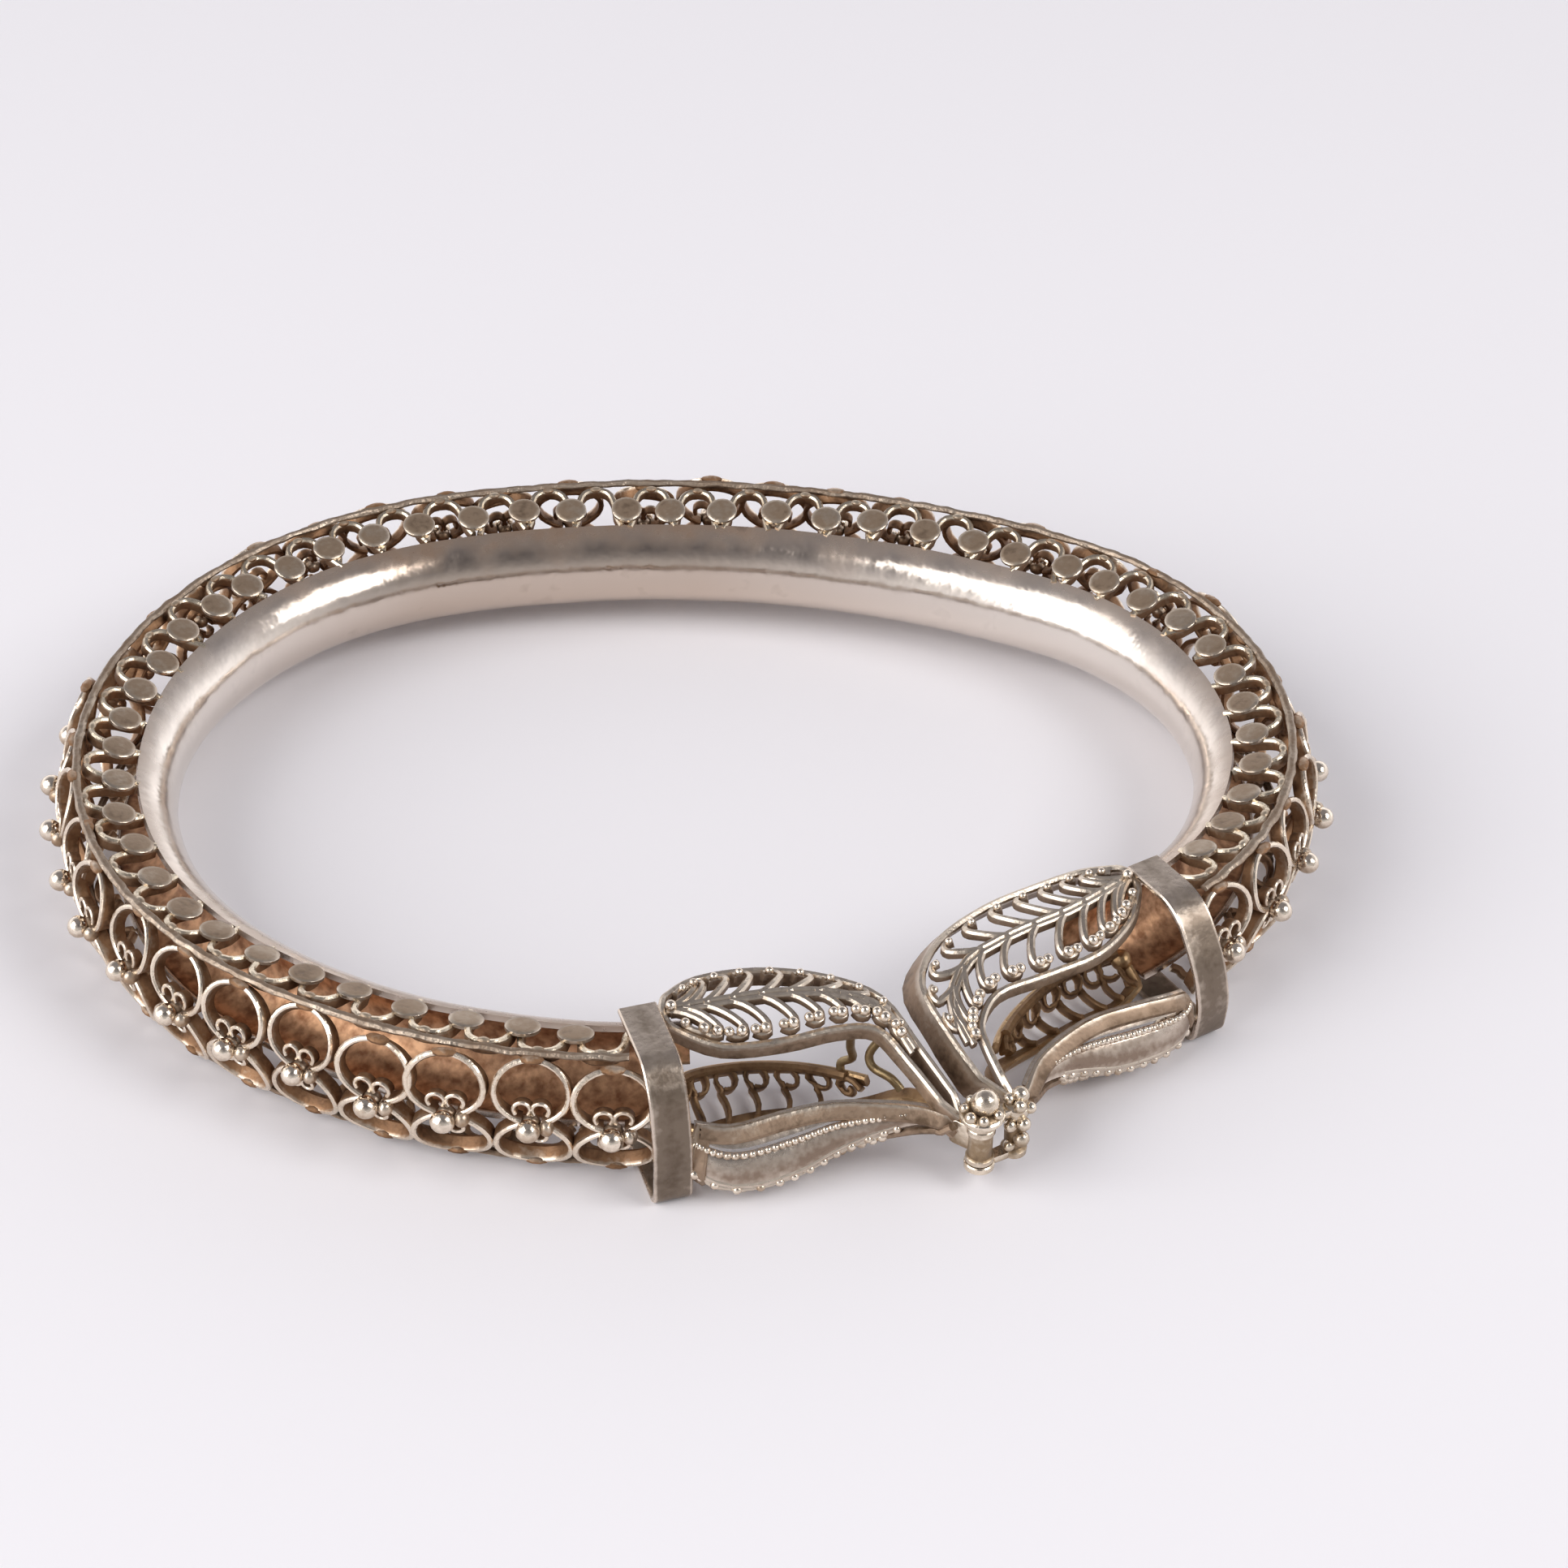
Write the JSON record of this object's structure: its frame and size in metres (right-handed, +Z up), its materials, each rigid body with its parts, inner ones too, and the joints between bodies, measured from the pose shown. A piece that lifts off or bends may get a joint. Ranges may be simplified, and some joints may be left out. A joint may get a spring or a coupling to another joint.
{
  "type": "filigree arm ring",
  "caption": "Oval silver filigree arm ring: smooth half-round inner wall, openwork outer band between two rails, leaf-shaped lantern ends and a lift-out closing pin.",
  "frame": {"origin": "middle of the ring's outline in plan, on the plane that it lies on", "axes": "+Z up through the wrist opening, -Y towards the closure, +X to the right as seen from the closure"},
  "size_m": [0.0901, 0.0813, 0.0104],
  "materials": {
    "wall": "polished silver, warm with age, coppery in its hollow",
    "filigree": "tarnished silver wire, bright on its edges",
    "granule": "worn bright silver",
    "rail": "brushed silver wire",
    "collar": "satin silver strip",
    "petal": "satin silver wire",
    "dark_petal": "brown tarnished silver",
    "brace": "brown tarnished wire",
    "clasp": "worn silver"
  },
  "bodies": {
    "ring": {"inner_wall": "wall", "top_gallery": "filigree", "bottom_gallery": "filigree", "top_rail": "rail", "bottom_rail": "rail", "outer_band": "filigree", "granules": "granule", "left_collar": "collar", "right_collar": "collar", "left_top_petal": "petal", "left_outer_petal": "petal", "left_inner_petal": "dark_petal", "right_top_petal": "petal", "right_outer_petal": "petal", "right_inner_petal": "dark_petal", "near_brace": "brace", "far_brace": "brace", "left_knuckle": "clasp", "right_knuckle": "clasp"},
    "pin": {"closing_pin": "clasp"}
  },
  "joints": [
    {"name": "pin_lift", "type": "slide", "parent": "ring", "child": "pin", "axis": [0, 0, 1], "range_m": [0, 0.0042]}
  ]
}
